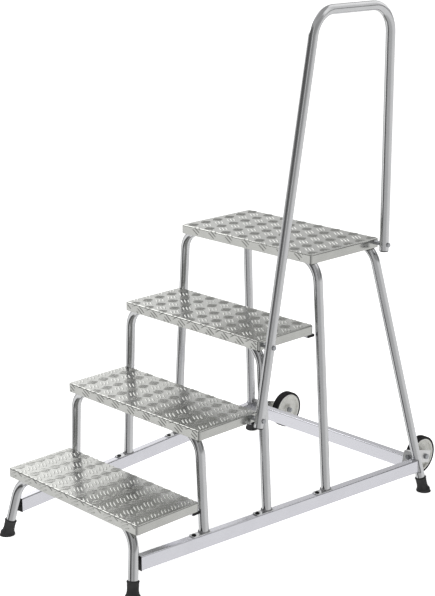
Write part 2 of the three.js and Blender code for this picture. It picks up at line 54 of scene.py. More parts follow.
# Tubes
TUBE_RADIUS = 16.7 * MM
TUBE_WALL = 3 * MM
TUBE_SIDES = 40
BEND_STEPS = 18
BEND_RADIUS = {  # in millimetres
    "arch_1": 98,
    "arch_2": 80,
    "arch_3": 80,
    "arch_4": 84,
    "arch_5": 84,
    "handrail": 95,
}
RAIL_ARCHES = ("arch_2", "arch_3", "arch_4")  # the arches that stand on the side rails
WELD = 3.2 * MM  # radius of a weld bead

# Foot plates of the rail arches
PLATE_WIDTH = 29.6 * MM
PLATE_THICK = 3 * MM
PLATE_CORNER = 4 * MM
PLATE_AHEAD = 11.6 * MM  # from the screw to the plate's front edge
PLATE_BEHIND = 63.6 * MM  # from the screw to the plate's rear edge

# Side rails and rear cross rail
RAIL_WIDTH = 30 * MM
RAIL_HEIGHT = 50 * MM
RAIL_CORNER = 4 * MM
RAIL_WALL = 2.5 * MM
RAIL_STOP = 6.5 * MM  # from a side rail's rear end to the rear leg's axis
COPE = 58  # degrees that a side rail reaches round the rear leg, to each side of its front

# Tabs on the rear legs, for the wheel brackets
BRACKET_SLOPE = math.radians(16)
TAB_INNER = 386 * MM  # from the middle of the ladder to a tab's inner edge
TAB_HEIGHT = 38 * MM
TAB_THICK = 8 * MM
TAB_DISTANCE = 4.6 * MM  # from the bolt head's seat, through the bracket's flange, to the tab

# Fasteners, in millimetres; a bolt's length is measured under its head, and turn is in degrees
BRACKET_BOLT = {"flats": 17, "head": 6.5, "shank": 5, "length": 18, "turn": 8}
HANDRAIL_BOLT = {"flats": 15, "head": 6, "shank": 4, "turn": 14}
HANDRAIL_NUT = {"flats": 13, "bore": 4.3, "turn": 10}
AXLE_BOLT = {"flats": 19, "head": 7.5, "shank": 6, "turn": 12}
AXLE_NUT = {"flats": 19, "bore": 6.3, "turn": 10}
FOOT_SCREW = {"head_radius": 8, "head": 4, "shank": 3}
THREAD_PITCH = 1.5 * MM
PLUG_CAP = 4.6 * MM  # from the handrail's rear end to the outer face of its plug

# Wheels
TYRE_BORE = 64.6 * MM  # radius

# Checker plate
FOLD = 5 * MM  # outside radius of a tread's folds
SHEET = 3 * MM
CORNER = 8 * MM
BAR_LENGTH = 40 * MM
BAR_WIDTH = 6.0 * MM
BAR_HEIGHT = 1.6 * MM
BAR_SPACING = 12 * MM
BAR_ANGLE = math.radians(30)
BAR_END = 0.25 * MM  # half a bar's width at its ends
BAR_SUNK = 0.35 * MM  # how far a bar's long edges reach into the plate
SHORTEST_SPAN = 0.3  # a cut bar is left out below this length, where a whole bar is 2
OUTER_BARS = 0.88  # length of a group's outer bars, as a share of its middle bar's
PLAIN_EDGE = 12 * MM  # strip without bars along a tread's sides
# In millimetres: the pitch of the groups of bars across and along each plate, and the place of one group,
# from the plate's middle line and from its front edge
PATTERN = {
    "tread_1": ((85, 44), (-316, 30)),
    "tread_2": ((80, 50), (-281, 12)),
    "tread_3": ((72, 59), (-293, 8)),
    "platform": ((85, 62), (-288, 26)),
}


# ---------------------------------------------------------------- mesh helpers

def add_object(name, mesh, material, body="frame", replaces=(), smooth_angle=35):
    """Makes a mesh into a piece of the object that rides on a body."""
    for polygon in mesh.polygons:
        polygon.use_smooth = True
    mesh.materials.clear()
    mesh.materials.append(material)
    obj = bpy.data.objects.new(name, mesh)
    bpy.context.scene.collection.objects.link(obj)
    mesh.set_sharp_from_angle(angle=math.radians(smooth_angle))
    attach(obj, body)
    if replaces:
        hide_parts(*replaces)
    weighted = obj.modifiers.new("weighted_normals", "WEIGHTED_NORMAL")
    weighted.keep_sharp = True
    return obj


def from_bmesh(name, bm):
    bmesh.ops.recalc_face_normals(bm, faces=bm.faces)
    mesh = bpy.data.meshes.new(name)
    bm.to_mesh(mesh)
    bm.free()
    return mesh


def loft(bm, rings, wrap=False):
    """Skins a list of rings of points, each with the same count. Wrap joins the last ring to the first;
    without it, both ends are closed."""
    made = [[bm.verts.new(p) for p in ring] for ring in rings]
    pairs = zip(made, made[1:] + made[:1] if wrap else made[1:])
    for low, high in pairs:
        count = len(low)
        for i in range(count):
            j = (i + 1) % count
            bm.faces.new((low[i], low[j], high[j], high[i]))
    if not wrap:
        bm.faces.new(made[0][::-1])
        bm.faces.new(made[-1])


def revolve(bm, profile, matrix, segments, wrap=False):
    """Turns a profile of (radius, height) pairs round Z, then places it; a profile either ends on the axis
    or, with wrap, closes on itself."""
    rings = []
    for radius, height in profile:
        ring = []
        for k in range(segments):
            angle = 2 * math.pi * k / segments
            ring.append(matrix @ Vector((radius * math.cos(angle), radius * math.sin(angle), height)))
        rings.append(ring)
    loft(bm, rings, wrap)


def in_mm(profile):
    """A profile that is given in millimetres, in metres."""
    return [(radius * MM, height * MM) for radius, height in profile]


def arc(centre, radius, start, end, steps):
    """Points of a circular arc as (x, y) pairs; the angles are in degrees."""
    points = []
    for k in range(steps + 1):
        angle = math.radians(start + (end - start) * k / steps)
        points.append((centre[0] + radius * math.cos(angle), centre[1] + radius * math.sin(angle)))
    return points


def rounded_rectangle(width, height, corner, steps=6):
    """A rectangle's outline with rounded corners, centred on the origin."""
    x, y = width / 2 - corner, height / 2 - corner
    points = []
    for k, (sx, sy) in enumerate(((1, 1), (-1, 1), (-1, -1), (1, -1))):
        points += arc((sx * x, sy * y), corner, 90 * k, 90 * k + 90, steps)
    return points


def facing(point, direction):
    """A matrix that takes Z to a direction and the origin to a point."""
    turn = Vector((0, 0, 1)).rotation_difference(direction)
    return Matrix.Translation(point) @ turn.to_matrix().to_4x4()


def rounded_path(corners, bend, steps=BEND_STEPS):
    """A polyline with its inner corners rounded, as (point, tangent) stations."""
    headings = [(b - a).normalized() for a, b in zip(corners, corners[1:])]
    stations = [(corners[0], headings[0])]
    for corner, before, after in zip(corners[1:-1], headings, headings[1:]):
        turn = before.angle(after)
        axis = before.cross(after).normalized()
        start = corner - before * bend * math.tan(turn / 2)
        centre = start - before.cross(axis) * bend
        for k in range(steps + 1):
            spin = Matrix.Rotation(turn * k / steps, 3, axis)
            stations.append((centre + spin @ (start - centre), spin @ before))
    stations.append((corners[-1], headings[-1]))
    return stations


def sweep(stations, section, normal):
    """Rings of a section of (across, up) pairs along stations; across starts out as the path's normal."""
    rings = []
    for point, tangent in stations:
        across = (normal - tangent * normal.dot(tangent)).normalized()
        up = tangent.cross(across)
        rings.append([point + across * a + up * b for a, b in section])
        normal = across
    return rings


def tube_rings(stations, radius, normal):
    return sweep(stations, arc((0, 0), radius, 0, 360, TUBE_SIDES)[:-1], normal)


def add_pipe(bm, stations, normal):
    """An open tube with a real wall and slightly rounded rims."""
    rim = 0.5 * MM
    middle = TUBE_RADIUS - TUBE_WALL / 2
    (first, first_way), (last, last_way) = stations[0], stations[-1]
    outer = tube_rings(stations, TUBE_RADIUS, normal)
    inner = tube_rings(stations, TUBE_RADIUS - TUBE_WALL, normal)
    start = tube_rings([(first - first_way * rim, first_way)], middle, normal)
    end = tube_rings([(last + last_way * rim, last_way)], middle, outer[-1][0] - last)
    loft(bm, start + outer + end + inner[::-1], wrap=True)


def turned_to(ring, last):
    """The ring, counted from another of its points so that it lies nearest to the last ring."""
    count = len(ring)

    def distance(shift):
        return sum((ring[(i + shift) % count] - last[i]).length for i in range(count))

    best = min(range(count), key=distance)
    return ring[best:] + ring[:best]


def add_bead(bm, loop, seed, radius=WELD, closed=True):
    """A weld bead along a loop of points: a rope of overlapping ripples."""
    rng = random.Random(seed)
    spacing = 1.1 * MM
    fewest = 12
    circle = arc((0, 0), 1, 0, 360, 8)[:-1]
    lengths = [(b - a).length for a, b in zip(loop, loop[1:] + loop[:1])]
    total = sum(lengths) if closed else sum(lengths[:-1])
    points = resample(loop, max(fewest, int(total / spacing)), closed)
    rings = []
    for k, point in enumerate(points):
        before = points[k - 1] if closed or k else points[k]
        after = points[(k + 1) % len(points)] if closed or k < len(points) - 1 else points[k]
        tangent = (after - before).normalized()
        side = tangent.orthogonal().normalized()
        up = tangent.cross(side)
        ripple = 0.16 * math.cos(k * math.pi / 1.5)
        swell = radius * (0.9 + ripple + 0.06 * rng.random())
        rings.append([point + (side * x + up * y) * swell for x, y in circle])
    aligned = [rings[0]]
    for ring in rings[1:]:
        aligned.append(turned_to(ring, aligned[-1]))
    if closed:
        aligned.append(turned_to(aligned[0], aligned[-1]))
    loft(bm, aligned)


def resample(loop, count, closed):
    """Evenly spaced points along a polyline."""
    track = loop + loop[:1] if closed else loop
    lengths = [(b - a).length for a, b in zip(track, track[1:])]
    total = sum(lengths)
    points = []
    index, passed = 0, 0.0
    steps = count if closed else count - 1
    for k in range(count):
        target = total * k / steps
        while index < len(lengths) - 1 and passed + lengths[index] < target:
            passed += lengths[index]
            index += 1
        share = (target - passed) / lengths[index] if lengths[index] else 0
        points.append(track[index].lerp(track[index + 1], min(share, 1)))
    return points


# ---------------------------------------------------------------- places read from the CAD frame

def crossing(node, axis, value, keep=lambda p: True):
    """Centre of the outline in which a plane across an axis cuts a CAD node."""
    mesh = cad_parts[node].data
    found = []
    for edge in mesh.edges:
        a, b = (mesh.vertices[i].co for i in edge.vertices)
        if (a[axis] - value) * (b[axis] - value) < 0:
            point = a.lerp(b, (value - a[axis]) / (b[axis] - a[axis]))
            if keep(point):
                found.append(point)
    low = Vector(min(p[i] for p in found) for i in range(3))
    high = Vector(max(p[i] for p in found) for i in range(3))
    return (low + high) / 2


def middle_of(node):
    low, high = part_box(node)
    return (low + high) / 2


def mirrored(point):
    return Vector((-point.x, point.y, point.z))


def on_right_leg(point):
    return point.x > 150 * MM


def arch_line(name):
    """The right leg's axis at its foot, and the corner where it would meet the arch's top run. The leg is
    measured between its foot's fittings and its bend."""
    above_foot, below_bend = 24 * MM, 6 * MM
    low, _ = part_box(name)
    run = crossing(name, 0, 0.0)
    bend = BEND_RADIUS[name] * MM
    lower = crossing(name, 2, low.z + above_foot, on_right_leg)
    upper = crossing(name, 2, run.z - bend - below_bend, on_right_leg)
    slope = (upper - lower) / (upper.z - lower.z)
    foot = lower + slope * (low.z - lower.z)
    return foot, lower + slope * (run.z - lower.z)


ARCH = {name: arch_line(name) for name in BEND_RADIUS if name != "handrail"}


def leg_at(name, z, side=1):
    """Axis of an arch's leg at a height."""
    foot, corner = ARCH[name]
    point = foot.lerp(corner, (z - foot.z) / (corner.z - foot.z))
    return point if side > 0 else mirrored(point)


def rail_axis(side):
    """Centre of a side rail near its front and near its rear."""
    name = "side_rail_right" if side > 0 else "side_rail_left"
    low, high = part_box(name)
    near_ends = (0.06, 0.94)
    return [crossing(name, 1, low.y + share * (high.y - low.y)) for share in near_ends]


# ---------------------------------------------------------------- materials

class Nodes:
    """A node tree, with short ways to make and link its nodes."""

    SHARE, FIRST, SECOND, COLOUR = 0, 6, 7, 2  # sockets of a colour Mix node

    def __init__(self, tree):
        self.tree = tree

    def node(self, kind, inputs=None, **settings):
        made = self.tree.nodes.new(kind)
        for key, value in settings.items():
            setattr(made, key, value)
        for key, value in (inputs or {}).items():
            if isinstance(value, bpy.types.NodeSocket):
                self.tree.links.new(value, made.inputs[key])
            else:
                made.inputs[key].default_value = value
        return made

    def ramp(self, value, stops):
        """A colour ramp; stops are (position, colour or gray)."""
        made = self.node("ShaderNodeValToRGB", {"Fac": value})
        elements = made.color_ramp.elements
        while len(elements) < len(stops):
            elements.new(0.5)
        for element, (position, colour) in zip(elements, stops):
            element.position = position
            if isinstance(colour, (int, float)):
                colour = (colour,) * 3
            element.color = (*colour, 1)
        return made.outputs["Color"]

    def mix(self, share, first, second, mode="MIX"):
        made = self.node("ShaderNodeMix", data_type="RGBA", blend_type=mode)
        for key, value in ((self.SHARE, share), (self.FIRST, first), (self.SECOND, second)):
            if isinstance(value, bpy.types.NodeSocket):
                self.tree.links.new(value, made.inputs[key])
            elif isinstance(value, tuple):
                made.inputs[key].default_value = (*value, 1)
            else:
                made.inputs[key].default_value = value
        return made.outputs[self.COLOUR]


class Surface(Nodes):
    """The nodes of a new material, round its Principled shader."""

    def __init__(self, name):
        self.material = bpy.data.materials.new(name)
        self.material.use_nodes = True
        super().__init__(self.material.node_tree)
        self.shader = self.tree.nodes["Principled BSDF"]

    def link(self, output, key):
        self.tree.links.new(output, self.shader.inputs[key])

    def noise(self, size, detail=3.0, stretch=(1, 1, 1), roughness=0.55):
        """Noise whose features are about this size, over stretched object coordinates."""
        coordinates = self.node("ShaderNodeTexCoord").outputs["Object"]
        place = self.node("ShaderNodeMapping", {"Vector": coordinates, "Scale": stretch}).outputs["Vector"]
        inputs = {"Vector": place, "Scale": 1 / size, "Detail": detail, "Roughness": roughness}
        return self.node("ShaderNodeTexNoise", inputs).outputs["Fac"]

    def bump(self, height, distance, strength=1.0):
        inputs = {"Height": height, "Distance": distance, "Strength": strength}
        return self.node("ShaderNodeBump", inputs).outputs["Normal"]


def metal(name, colour, darker, roughness, grain):
    """Worked metal: fine streaks along one direction, faint clouding, and rubbed spots."""
    m = Surface(name)
    clouds = m.noise(90 * MM, 4)
    streaks = m.noise(0.8 * MM, 2, grain)
    spots = m.noise(12 * MM, 5)
    tone = m.ramp(clouds, [(0.32, darker), (0.68, colour)])
    fine = m.ramp(streaks, [(0.3, 0.95), (0.7, 1.0)])
    toned = m.mix(1.0, tone, fine, "MULTIPLY")
    rubbed = m.ramp(spots, [(0.62, 0.0), (0.78, 0.25)])
    lighter = tuple(min(1.0, c * 1.08) for c in colour)
    m.link(m.mix(rubbed, toned, lighter), "Base Color")
    low, high = roughness
    m.link(m.ramp(m.mix(0.25, clouds, streaks), [(0.3, low), (0.7, high)]), "Roughness")
    m.link(m.bump(streaks, 0.01 * MM, 0.5), "Normal")
    m.shader.inputs["Metallic"].default_value = 1.0
    return m.material


def rubber(name, colour, roughness, pits=0.9 * MM):
    """Moulded rubber: a fine pebbled skin with dust in it."""
    m = Surface(name)
    pebbles = m.noise(pits, 3)
    dust = m.noise(20 * MM, 5)
    dusty = tuple(c * 1.7 + 0.01 for c in colour)
    m.link(m.mix(m.ramp(dust, [(0.4, 0.0), (0.75, 0.55)]), colour, dusty), "Base Color")
    m.link(m.ramp(dust, [(0.3, roughness - 0.08), (0.7, roughness + 0.08)]), "Roughness")
    m.link(m.bump(pebbles, 0.2 * MM, 0.8), "Normal")
    m.shader.inputs["Specular IOR Level"].default_value = 0.15
    return m.material


def moulded(name, colour, fleck):
    """Moulded plastic with a speckled surface."""
    m = Surface(name)
    speckle = m.noise(2.2 * MM, 4, roughness=0.7)
    wash = m.noise(30 * MM, 3)
    base = m.mix(m.ramp(speckle, [(0.5, 0.0), (0.66, 1.0)]), colour, fleck)
    m.link(m.mix(1.0, base, m.ramp(wash, [(0.3, 0.9), (0.7, 1.0)]), "MULTIPLY"), "Base Color")
    m.link(m.ramp(speckle, [(0.3, 0.42), (0.7, 0.6)]), "Roughness")
    m.link(m.bump(speckle, 0.1 * MM, 0.5), "Normal")
    return m.material


def weld_metal():
    """Aluminium weld: a bright ripple with a sooty edge."""
    m = Surface("weld_bead")
    soot = m.noise(6 * MM, 4)
    m.link(m.ramp(soot, [(0.35, (0.34, 0.34, 0.35)), (0.7, (0.62, 0.62, 0.63))]), "Base Color")
    m.link(m.ramp(soot, [(0.3, 0.32), (0.7, 0.5)]), "Roughness")
    m.link(m.bump(m.noise(1.2 * MM, 2), 0.15 * MM), "Normal")
    m.shader.inputs["Metallic"].default_value = 1.0
    return m.material


TUBE = metal("tube_satin", (0.72, 0.725, 0.735), (0.67, 0.675, 0.685), (0.13, 0.2), (1, 1, 0.06))
RAIL = metal("rail_anodised", (0.83, 0.83, 0.88), (0.79, 0.79, 0.84), (0.19, 0.25), (1, 0.06, 1))
CHECKER = metal("checker_plate", (0.63, 0.634, 0.608), (0.56, 0.564, 0.54), (0.16, 0.22), (1, 1, 1))
BRACKET = metal("bracket_steel", (0.9, 0.9, 0.9), (0.82, 0.82, 0.82), (0.4, 0.52), (0.1, 1, 1))
STEEL = metal("fastener_steel", (0.5, 0.51, 0.53), (0.4, 0.41, 0.43), (0.24, 0.4), (1, 1, 1))
RUBBER = rubber("foot_rubber", (0.035, 0.035, 0.036), 0.68)
TYRE = rubber("wheel_rubber", (0.018, 0.017, 0.018), 0.6, 1.4 * MM)
PLASTIC = rubber("black_plastic", (0.012, 0.012, 0.013), 0.42)
HUB = moulded("wheel_hub_plastic", (0.78, 0.78, 0.74), (0.48, 0.48, 0.45))
WELD_METAL = weld_metal()


# ---------------------------------------------------------------- tube arches

def arch_stations(name):
    foot, corner = ARCH[name]
    corners = [mirrored(foot), mirrored(corner), corner, foot]
    return rounded_path(corners, BEND_RADIUS[name] * MM)


def add_foot_plate(bm, name, side):
    """The flat plate under a leg of a rail arch, with rounded corners, screwed down in front."""
    label = "right" if side > 0 else "left"
    screw = middle_of(f"foot_screw_{name[-1]}_{label}")
    low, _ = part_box(name)
    front, rear = rail_axis(side)
    along = (rear - front).normalized()
    along.z = 0
    across = Vector((along.y, -along.x, 0))
    middle = screw + along * (PLATE_BEHIND - PLATE_AHEAD) / 2
    edge = 0.5 * MM
    rings = []
    for inset, height in ((edge, 0), (0, edge), (0, PLATE_THICK - edge), (edge, PLATE_THICK)):
        length, width = PLATE_AHEAD + PLATE_BEHIND - 2 * inset, PLATE_WIDTH - 2 * inset
        outline = rounded_rectangle(length, width, PLATE_CORNER - inset, 5)
        centre = Vector((middle.x, middle.y, low.z + height))
        rings.append([centre + along * a + across * b for a, b in outline])
    loft(bm, rings)


def build_arches():
    for name in ARCH:
        bm = bmesh.new()
        add_pipe(bm, arch_stations(name), Vector((0, 1, 0)))
        if name in RAIL_ARCHES:
            for side in SIDES.values():
                add_foot_plate(bm, name, side)
        if name == "arch_5":
            add_bracket_tabs(bm)
        mesh = from_bmesh(name + "_tube", bm)
        add_object(name + "_tube", mesh, TUBE, replaces=[name])


def bolt_seat(label):
    """The middle of a bracket bolt's seat and the way that the bolt points."""
    along = Vector((0, math.cos(BRACKET_SLOPE), -math.sin(BRACKET_SLOPE)))
    back = (BRACKET_BOLT["length"] - BRACKET_BOLT["head"]) / 2 * MM
    return middle_of(f"bracket_bolt_{label}") - along * back, along


def add_bracket_tabs(bm):
    """The threaded tab welded to each rear leg, parallel to the wheel bracket's flange."""
    edge = 0.8 * MM
    across = Vector((1, 0, 0))
    up = Vector((0, math.sin(BRACKET_SLOPE), math.cos(BRACKET_SLOPE)))
    for label, side in SIDES.items():
        seat, normal = bolt_seat(label)
        face = seat + normal * TAB_DISTANCE
        outer = leg_at("arch_5", seat.z).x - TUBE_RADIUS / 2
        middle = Vector((side * (TAB_INNER + outer) / 2, face.y, face.z))
        rings = []
        for depth, inset in ((0, edge), (edge, 0), (TAB_THICK - edge, 0), (TAB_THICK, edge)):
            ring = []
            for sa, sb in ((-1, -1), (1, -1), (1, 1), (-1, 1)):
                half_width, half_height = (outer - TAB_INNER) / 2 - inset, TAB_HEIGHT / 2 - inset
                offset = across * sa * half_width + up * sb * half_height
                ring.append(middle + offset + normal * depth)
            rings.append(ring)
        loft(bm, rings)


def build_leg_welds():
    """Beads round the feet of the rail arches, on their foot plates."""
    bm = bmesh.new()
    for name in RAIL_ARCHES:
        low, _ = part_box(name)
        for side in SIDES.values():
            base = leg_at(name, low.z + PLATE_THICK + 0.4 * MM, side)
            circle = arc((0, 0), TUBE_RADIUS + 0.6 * MM, 0, 360, 40)[:-1]
            ring = [base + Vector((x, y, 0)) for x, y in circle]
            add_bead(bm, ring, seed=len(bm.verts))
    add_object("leg_welds", from_bmesh("leg_welds", bm), WELD_METAL)


build_arches()
build_leg_welds()


# ---------------------------------------------------------------- base rails

def add_box_tube(bm, start, end, across):
    """A hollow rail from start to end; its width lies along across."""
    tangent = (end - start).normalized()
    stations = [(start, tangent), (end, tangent)]
    inner_width, inner_height = RAIL_WIDTH - 2 * RAIL_WALL, RAIL_HEIGHT - 2 * RAIL_WALL
    outer = sweep(stations, rounded_rectangle(RAIL_WIDTH, RAIL_HEIGHT, RAIL_CORNER), across)
    inner = sweep(stations, rounded_rectangle(inner_width, inner_height, RAIL_CORNER - RAIL_WALL), across)
    loft(bm, outer + inner[::-1], wrap=True)


def build_rails():
    for label, side in SIDES.items():
        name = f"side_rail_{label}"
        low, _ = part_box(name)
        front, rear = rail_axis(side)
        along = (rear - front).normalized()
        start = front + along * (low.y - front.y) / along.y
        stop = leg_at("arch_5", front.z, side).y - RAIL_STOP
        end = front + along * (stop - front.y) / along.y
        bm = bmesh.new()
        add_box_tube(bm, start, end, Vector((along.y, -along.x, 0)))
        add_object(name + "_profile", from_bmesh(name, bm), RAIL, replaces=[name])
    low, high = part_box("rear_cross_rail")
    y, z = (low.y + high.y) / 2, (low.z + high.z) / 2
    bm = bmesh.new()
    add_box_tube(bm, Vector((low.x, y, z)), Vector((high.x, y, z)), Vector((0, 1, 0)))
    add_object("rear_cross_rail_profile", from_bmesh("rear_cross_rail", bm), RAIL,
               replaces=["rear_cross_rail"])


def on_leg(z, side, degrees):
    """A point on a rear leg's skin at a height; -90 degrees is its front."""
    angle = math.radians(degrees)
    return leg_at("arch_5", z, side) + Vector((math.cos(angle), math.sin(angle), 0)) * TUBE_RADIUS


def build_rail_welds():
    """Beads where the side rails are coped round the rear legs: two upright, one below and one above."""
    front = -90
    shares = [k / 16 for k in range(17)]
    low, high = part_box("side_rail_right")
    bm = bmesh.new()
    for side in SIDES.values():
        for degrees in (front - COPE, front + COPE):
            points = [on_leg(low.z + (high.z - low.z) * share, side, degrees) for share in shares]
            add_bead(bm, points, seed=7, radius=2.6 * MM, closed=False)
        for z in (low.z, high.z):
            points = [on_leg(z, side, front - COPE + 2 * COPE * share) for share in shares]
            add_bead(bm, points, seed=9, radius=2.4 * MM, closed=False)
    add_object("rail_welds", from_bmesh("rail_welds", bm), WELD_METAL)


build_rails()
build_rail_welds()


# ---------------------------------------------------------------- treads

def add_pan(bm, low, high):
    """A sheet folded down on four sides: rounded folds outside and inside, and a rounded lower rim."""
    centre = (low + high) / 2
    sharpest = 1.2 * MM  # radius of the corners inside the pan
    rings = []

    def ring(inset, drop):
        width, depth = high.x - low.x - 2 * inset, high.y - low.y - 2 * inset
        outline = rounded_rectangle(width, depth, max(CORNER - inset, sharpest))
        rings.append([Vector((centre.x + x, centre.y + y, high.z - drop)) for x, y in outline])

    for k in range(9):
        angle = math.pi / 2 * k / 8
        ring(FOLD * (1 - math.sin(angle)), FOLD * (1 - math.cos(angle)))
    flange = high.z - low.z
    rim = 0.8 * MM
    ring(0, flange - rim)
    ring(rim / 2, flange)
    ring(SHEET - rim / 2, flange)
    ring(SHEET, flange - rim)
    inside = FOLD - SHEET + 1 * MM
    for k in range(5):
        angle = math.pi / 2 * (1 - k / 4)
        ring(SHEET + inside * (1 - math.sin(angle)), SHEET + inside * (1 - math.cos(angle)))
    loft(bm, rings)


def fold_point(low, high, x, y, height):
    """A point this far above the plate's outer skin, where y runs on round the front and rear folds."""
    front, rear = low.y + FOLD, high.y - FOLD
    if front <= y <= rear:
        return Vector((x, y, high.z + height))
    sign, over = (-1, front - y) if y < front else (1, y - rear)
    edge = front if sign < 0 else rear
    turn = min(over / FOLD, math.pi / 2)
    reach = FOLD + height
    point = Vector((x, edge + sign * reach * math.sin(turn), high.z - FOLD + reach * math.cos(turn)))
    point.z -= max(0.0, over - FOLD * math.pi / 2)
    return point


def add_tread_bar(bm, low, high, centre, angle, length, span):
    """One raised bar of the checker plate, lens-shaped, following the folds of its plate; span is the
    stretch of the bar that is on the plate, within -1 to 1."""
    along = Vector((math.cos(angle), math.sin(angle)))
    across = Vector((-along.y, along.x))
    stations, lanes = 10, 6
    last_s = None
    rows = []
    for i in range(stations + 1):
        s = max(span[0], min(span[1], -math.cos(math.pi * i / stations)))
        if s == last_s:
            continue
        last_s = s
        half = BAR_WIDTH / 2 * math.sqrt(max(0.0, 1 - abs(s) ** 3)) + BAR_END
        lift = BAR_HEIGHT * math.sqrt(max(0.0, 1 - s ** 4))
        row = []
        for j in range(lanes + 1):
            t = -1 + 2 * j / lanes
            spot = centre + along * s * length / 2 + across * t * half
            height = lift * (1 - abs(t) ** 2.4) - BAR_SUNK * abs(t) ** 4
            row.append(bm.verts.new(fold_point(low, high, spot.x, spot.y, height)))
        rows.append(row)
    for lower, upper in zip(rows, rows[1:]):
        for j in range(lanes):
            bm.faces.new((lower[j], lower[j + 1], upper[j + 1], upper[j]))
        bm.faces.new((lower[0], upper[0], upper[-1], lower[-1]))
    bm.faces.new(rows[0][::-1])
    bm.faces.new(rows[-1])


def group_places(name, low, high):
    """Centres of the groups of bars on a plate, each with its direction (1 or -1)."""
    (pitch_x, pitch_y), (start_x, start_y) = PATTERN[name]
    flange = high.z - low.z
    columns = math.ceil((high.x - low.x) / MM / pitch_x)
    rows = math.ceil((high.y - low.y) / MM / pitch_y)
    for row in range(-3, rows + 2):
        for column in range(-2, columns + 2):
            for half, direction in ((0, 1), (0.5, -1)):
                x = (start_x + (column + half) * pitch_x) * MM
                y = low.y + (start_y + (row + half) * pitch_y) * MM
                if low.y - flange < y < high.y + flange:
                    yield Vector((x, y)), direction


def build_tread(name):
    low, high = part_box(name)
    bm = bmesh.new()
    add_pan(bm, low, high)
    (pitch_x, pitch_y), _ = PATTERN[name]
    tilt = (math.atan2(pitch_y, pitch_x) + BAR_ANGLE) / 2
    stop_x = high.x - PLAIN_EDGE
    clear_of_rim = BAR_WIDTH / 2 + 1 * MM
    unfolded = high.z - low.z - FOLD + FOLD * math.pi / 2 - clear_of_rim
    first_y = low.y + FOLD - unfolded
    last_y = high.y - FOLD + unfolded
    for centre, direction in group_places(name, low, high):
        angle = tilt * direction
        across = Vector((-math.sin(angle), math.cos(angle)))
        for lane in (-1, 0, 1):
            length = BAR_LENGTH * (OUTER_BARS if lane else 1)
            spot = centre + across * lane * BAR_SPACING
            half_x = length / 2 * math.cos(angle)
            half_y = length / 2 * math.sin(angle)
            ends_y = sorted(((first_y - spot.y) / half_y, (last_y - spot.y) / half_y))
            span = (max(-1.0, (-stop_x - spot.x) / half_x, ends_y[0]),
                    min(1.0, (stop_x - spot.x) / half_x, ends_y[1]))
            if span[1] - span[0] > SHORTEST_SPAN:
                add_tread_bar(bm, low, high, spot, angle, length, span)
    mesh = from_bmesh(name + "_plate", bm)
    add_object(name + "_plate", mesh, CHECKER, replaces=[name], smooth_angle=50)


for plate_name in PATTERN:
    build_tread(plate_name)


# ---------------------------------------------------------------- fasteners

def add_hex_head(bm, matrix, flats, height, turn, nut_bore=None):
    """A hexagon head or nut from z = 0 to its height, with its corners chamfered off round."""
    sides = 48
    rings = []

    def ring(limit, z):
        """The hexagon, cut back to a circle of the limit's radius."""
        points = []
        for k in range(sides):
            angle = 2 * math.pi * k / sides
            sector = (angle - math.radians(turn)) % (math.pi / 3) - math.pi / 6
            flat = flats / 2 / math.cos(sector)
            radius = min(flat, limit)
            points.append(matrix @ Vector((radius * math.cos(angle), radius * math.sin(angle), z)))
        rings.append(points)

    corner, washer = flats / math.sqrt(3), flats * 0.47
    for limit, share in ((washer, 0), (washer, 0.05), (corner, 0.06), (corner, 0.84), (corner * 0.955, 0.93),
                         (washer, 0.985), (flats * 0.4, 1)):
        ring(limit, height * share)
    if nut_bore is None:
        ring(flats * 0.16, height)
        loft(bm, rings)
    else:
        flare, chamfer = nut_bore + 0.9 * MM, 0.8 * MM
        ring(flare, height)
        ring(nut_bore, height - chamfer)
        ring(nut_bore, chamfer)
        ring(flare, 0)
        loft(bm, rings, wrap=True)


def add_threaded_shank(bm, matrix, radius, length):
    """A shank from inside the head down to -length, threaded over its last stretch, with a chamfered end."""
    axis, in_head, chamfer = 0.0001 * MM, 2 * MM, 0.9 * MM
    threaded = min(length * 0.7, 22 * MM)
    z = -(length - threaded)
    profile = [(axis, in_head), (radius, in_head), (radius, z)]
    while z > -length + 1.5 * THREAD_PITCH:
        root = (radius - 0.6 * MM, z - THREAD_PITCH * 0.5)
        profile += [(radius, z - THREAD_PITCH * 0.15), root, (radius, z - THREAD_PITCH * 0.85)]
        z -= THREAD_PITCH
    profile += [(radius, -length + 1 * MM), (radius - chamfer, -length), (axis, -length)]
    revolve(bm, profile, matrix, 32)


def build_bolt(name, seat, outward, size):
    """A hexagon bolt: seat is under its head and outward the way the head faces."""
    bm = bmesh.new()
    matrix = facing(seat, outward)
    add_hex_head(bm, matrix, size["flats"] * MM, size["head"] * MM, size["turn"])
    add_threaded_shank(bm, matrix, size["shank"] * MM, size["length"] * MM)
    add_object(name + "_detail", from_bmesh(name, bm), STEEL, "frame", [name])


def build_nut(name, seat, outward, size):
    """A hexagon nut that stands on its seat."""
    low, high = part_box(name)
    bm = bmesh.new()
    flats, bore = size["flats"] * MM, size["bore"] * MM
    add_hex_head(bm, facing(seat, outward), flats, high.x - low.x, size["turn"], bore)
    add_object(name + "_detail", from_bmesh(name, bm), STEEL, "frame", [name])


def build_handrail_fasteners():
    outward = Vector((1, 0, 0))
    head = HANDRAIL_BOLT["head"] * MM
    for place in HANDRAIL_PLACES:
        bolt, nut = f"handrail_bolt_{place}", f"handrail_nut_{place}"
        low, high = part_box(bolt)
        middle = middle_of(bolt)
        size = dict(HANDRAIL_BOLT, length=(high.x - head - low.x) / MM)
        build_bolt(bolt, Vector((high.x - head, middle.y, middle.z)), outward, size)
        _, nut_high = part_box(nut)
        build_nut(nut, Vector((nut_high.x, middle.y, middle.z)), -outward, HANDRAIL_NUT)


def build_bracket_bolts():
    for label in SIDES:
        seat, along = bolt_seat(label)
        build_bolt(f"bracket_bolt_{label}", seat, -along, BRACKET_BOLT)


